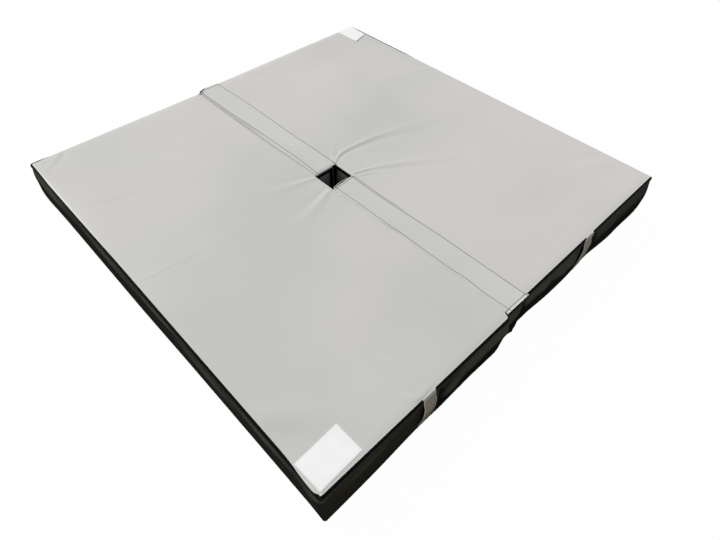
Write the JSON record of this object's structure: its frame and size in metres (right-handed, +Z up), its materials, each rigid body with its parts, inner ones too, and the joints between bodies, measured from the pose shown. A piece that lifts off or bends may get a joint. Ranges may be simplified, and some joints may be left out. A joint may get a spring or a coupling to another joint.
{
  "type": "landing mat",
  "caption": "Thick foam landing mat in two halves with a grey top, black sides, carrying straps, a square post hole and hook and loop flaps over the seam.",
  "frame": {"origin": "on the floor, under the middle of the mat's bounding box", "axes": "+X across the seam from the left half to the right half, which carries the flaps, +Y along the seam away from the picture's near corner, +Z up"},
  "size_m": [2.4384, 2.5044, 0.26],
  "materials": {
    "grey_vinyl": "smooth pale grey vinyl-coated cloth, soft sheen",
    "black_vinyl": "black vinyl-coated cloth, soft sheen, wrinkled",
    "base_vinyl": "black pebbled non-slip vinyl",
    "black_mesh": "black ribbed air mesh, matt",
    "black_tape": "black woven tape, matt",
    "strap_vinyl": "grey folded vinyl strap with sewn edges",
    "white_patch": "blank white vinyl patch",
    "soft_foam": "open-cell polyurethane foam",
    "firm_foam": "closed-cell polyethylene foam",
    "zip_plastic": "black moulded zip teeth",
    "zip_metal": "dark nickel-plated metal"
  },
  "bodies": {
    "left_half": {"left_top_panel": "grey_vinyl", "left_base_panel": "base_vinyl", "left_soft_foam": "soft_foam", "left_firm_foam": "firm_foam", "left_outer_wall": "black_mesh", "left_front_mesh_wall": "black_mesh", "left_front_vinyl_wall": "black_vinyl", "left_front_seam_tape": "black_tape", "left_back_wall_lower": "black_vinyl", "left_back_wall_upper": "black_vinyl", "left_seam_wall_front": "black_vinyl", "left_seam_wall_back": "black_vinyl", "left_hole_wall_front": "black_vinyl", "left_hole_wall_back": "black_vinyl", "left_hole_wall_end": "black_vinyl", "left_top_binding": "black_tape", "left_front_strap": "strap_vinyl", "left_back_strap": "strap_vinyl", "left_zip_tape": "black_tape", "left_zip_chain": "zip_plastic", "left_zip_stop_closed": "zip_metal", "left_zip_stop_open": "zip_metal", "front_loop": "black_tape", "back_loop": "black_tape", "near_patch": "white_patch"},
    "right_half": {"right_top_panel": "grey_vinyl", "right_base_panel": "base_vinyl", "right_soft_foam": "soft_foam", "right_firm_foam": "firm_foam", "right_outer_wall": "black_vinyl", "right_front_wall": "black_vinyl", "right_back_wall_lower": "black_vinyl", "right_back_wall_upper": "black_vinyl", "right_seam_wall_front": "black_vinyl", "right_seam_wall_back": "black_vinyl", "right_hole_wall_front": "black_vinyl", "right_hole_wall_back": "black_vinyl", "right_hole_wall_end": "black_vinyl", "right_top_binding": "black_tape", "right_front_strap": "strap_vinyl", "right_back_strap": "strap_vinyl", "right_zip_tape": "black_tape", "right_zip_chain": "zip_plastic", "right_zip_stop_closed": "zip_metal", "right_zip_stop_open": "zip_metal", "far_patch": "white_patch"},
    "front_flap": {"front_flap_leaf": "grey_vinyl", "front_flap_hook": "black_tape"},
    "back_flap": {"back_flap_leaf": "grey_vinyl", "back_flap_hook": "black_tape"},
    "left_slider": {"left_zip_slider": "zip_metal"},
    "left_pull": {"left_zip_pull": "zip_metal"},
    "right_slider": {"right_zip_slider": "zip_metal"},
    "right_pull": {"right_zip_pull": "zip_metal"}
  },
  "joints": [
    {"name": "right_half_part", "type": "slide", "parent": "left_half", "child": "right_half", "axis": [1, 0, 0], "range_m": [0, 0.6]},
    {"name": "front_flap_lift", "type": "hinge", "parent": "right_half", "child": "front_flap", "pos_m": [0.0187, -0.6006, 0.2553], "axis": [0, 1, 0], "range_deg": [0, 170]},
    {"name": "back_flap_lift", "type": "hinge", "parent": "right_half", "child": "back_flap", "pos_m": [0.0187, 0.6186, 0.2553], "axis": [0, 1, 0], "range_deg": [0, 170]},
    {"name": "left_zip_run", "type": "slide", "parent": "left_half", "child": "left_slider", "axis": [1, 0, 0], "range_m": [0, 1.091]},
    {"name": "left_pull_swing", "type": "hinge", "parent": "left_slider", "child": "left_pull", "pos_m": [-1.1582, 1.21613, 0.127], "axis": [0, 0, 1], "range_deg": [0, 165]},
    {"name": "right_zip_run", "type": "slide", "parent": "right_half", "child": "right_slider", "axis": [-1, 0, 0], "range_m": [0, 1.091]},
    {"name": "right_pull_swing", "type": "hinge", "parent": "right_slider", "child": "right_pull", "pos_m": [1.1582, 1.23413, 0.127], "axis": [0, 0, -1], "range_deg": [0, 165]}
  ]
}
